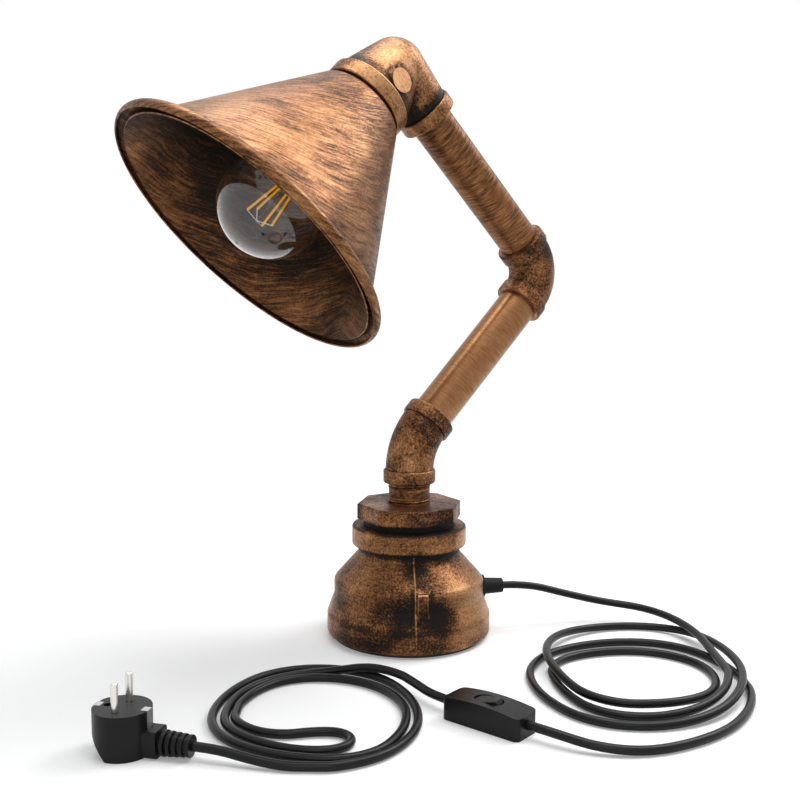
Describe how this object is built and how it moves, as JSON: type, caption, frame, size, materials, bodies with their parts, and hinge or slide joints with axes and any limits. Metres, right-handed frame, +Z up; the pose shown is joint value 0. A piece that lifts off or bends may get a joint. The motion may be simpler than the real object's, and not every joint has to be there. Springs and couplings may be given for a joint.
{
  "type": "table lamp",
  "caption": "Industrial table lamp of copper-painted pipe fittings with swivelling pipe arm, rolled cone shade, globe bulb and coiled mains lead with inline rocker switch.",
  "frame": {"origin": "middle of the foot pad's underside, on the surface that the lamp stands on", "axes": "+Z up; the arm lies in the XZ plane at rest, its middle elbow towards +X and the shade towards -X; +Y completes the right hand"},
  "size_m": [0.4825, 0.4066, 0.4779],
  "materials": {
    "foot_pad": "matt",
    "bottom_plate": "matt black",
    "base_casting": "brushed copper paint over black",
    "reducer_bushing": "brushed copper paint over black",
    "base_nipple": "brushed copper paint over black",
    "cable_gland": "matt black",
    "gland_nut": "matt black",
    "terminal_block": "matt",
    "terminal_screws": "bright",
    "earth_screw": "zinc",
    "supply_tail": "matt",
    "base_cable": "matt",
    "cord_lead": "satin black",
    "cord_right_coil": "satin black",
    "cord_middle": "satin black",
    "cord_hairpin": "satin black",
    "cord_left_coil": "satin black",
    "cord_tail": "satin black",
    "switch_lower_shell": "satin black",
    "switch_upper_shell": "satin black",
    "switch_screws": "zinc",
    "switch_contacts": "bright",
    "rocker_pin": "bright",
    "rocker": "satin black",
    "rocker_bridge": "bright",
    "plug_body": "satin black",
    "plug_pins": "nickel",
    "plug_clips": "bright",
    "lower_elbow": "brushed copper paint over black",
    "lower_pipe": "brushed copper paint over black",
    "lower_cable": "matt",
    "middle_elbow": "brushed copper paint over black",
    "upper_pipe": "brushed copper paint over black",
    "upper_cable": "matt",
    "head_elbow": "brushed copper paint over black",
    "holder_plate": "matt black",
    "holder_nipple": "zinc",
    "holder_nut": "zinc",
    "holder_sleeve": "matt black",
    "holder_insert": "glazed",
    "holder_terminals": "bright",
    "screw_shell": "bright",
    "centre_tongue": "bright",
    "shade": "brushed copper paint outside, dark brown inside",
    "shade_ring": "matt black",
    "head_cable": "matt",
    "bulb_glass": "clear",
    "bulb_cap": "bright",
    "bulb_insulator": "black glass",
    "bulb_foot": "bright",
    "bulb_stem": "clear",
    "bulb_filaments": "amber phosphor",
    "filament_spider": "bright"
  },
  "bodies": {
    "base": {"foot_pad": "foot_pad", "bottom_plate": "bottom_plate", "base_casting": "base_casting", "reducer_bushing": "reducer_bushing", "base_nipple": "base_nipple", "cable_gland": "cable_gland", "gland_nut": "gland_nut", "terminal_block": "terminal_block", "terminal_screws": "terminal_screws", "earth_screw": "earth_screw", "supply_tail": "supply_tail", "base_cable": "base_cable", "cord_lead": "cord_lead", "cord_right_coil": "cord_right_coil", "cord_middle": "cord_middle", "switch_lower_shell": "switch_lower_shell", "switch_upper_shell": "switch_upper_shell", "switch_screws": "switch_screws", "switch_contacts": "switch_contacts", "rocker_pin": "rocker_pin", "cord_hairpin": "cord_hairpin", "cord_left_coil": "cord_left_coil", "cord_tail": "cord_tail", "plug_body": "plug_body", "plug_pins": "plug_pins", "plug_clips": "plug_clips"},
    "lower_arm": {"lower_elbow": "lower_elbow", "lower_pipe": "lower_pipe", "lower_cable": "lower_cable"},
    "upper_arm": {"middle_elbow": "middle_elbow", "upper_pipe": "upper_pipe", "upper_cable": "upper_cable"},
    "head": {"head_elbow": "head_elbow", "holder_plate": "holder_plate", "holder_nipple": "holder_nipple", "holder_nut": "holder_nut", "holder_sleeve": "holder_sleeve", "holder_insert": "holder_insert", "holder_terminals": "holder_terminals", "screw_shell": "screw_shell", "centre_tongue": "centre_tongue", "shade": "shade", "shade_ring": "shade_ring", "head_cable": "head_cable"},
    "bulb": {"bulb_glass": "bulb_glass", "bulb_cap": "bulb_cap", "bulb_insulator": "bulb_insulator", "bulb_foot": "bulb_foot", "bulb_stem": "bulb_stem", "bulb_filaments": "bulb_filaments", "filament_spider": "filament_spider"},
    "rocker": {"rocker": "rocker", "rocker_bridge": "rocker_bridge"}
  },
  "joints": [
    {"name": "arm_swivel", "type": "hinge", "parent": "base", "child": "lower_arm", "pos_m": [0, 0, 0.1585], "axis": [0, 0, 1], "range_deg": [-170, 170]},
    {"name": "elbow_swivel", "type": "hinge", "parent": "lower_arm", "child": "upper_arm", "pos_m": [0.13859, 0, 0.29709], "axis": [0.7071, 0, 0.7071], "range_deg": [-45, 45]},
    {"name": "head_swivel", "type": "hinge", "parent": "upper_arm", "child": "head", "pos_m": [-0.01768, 0, 0.45336], "axis": [-0.7071, 0, 0.7071], "range_deg": [-90, 90]},
    {"name": "bulb_turn", "type": "hinge", "parent": "head", "child": "bulb", "pos_m": [-0.06717, 0, 0.40387], "axis": [-0.7071, 0, -0.7071], "range_deg": [0, 900]},
    {"name": "rocker_tilt", "type": "hinge", "parent": "base", "child": "rocker", "pos_m": [-0.06149, -0.18469, 0.012], "axis": [-0.9573, -0.289, 0], "range_deg": [-16, 0]}
  ]
}
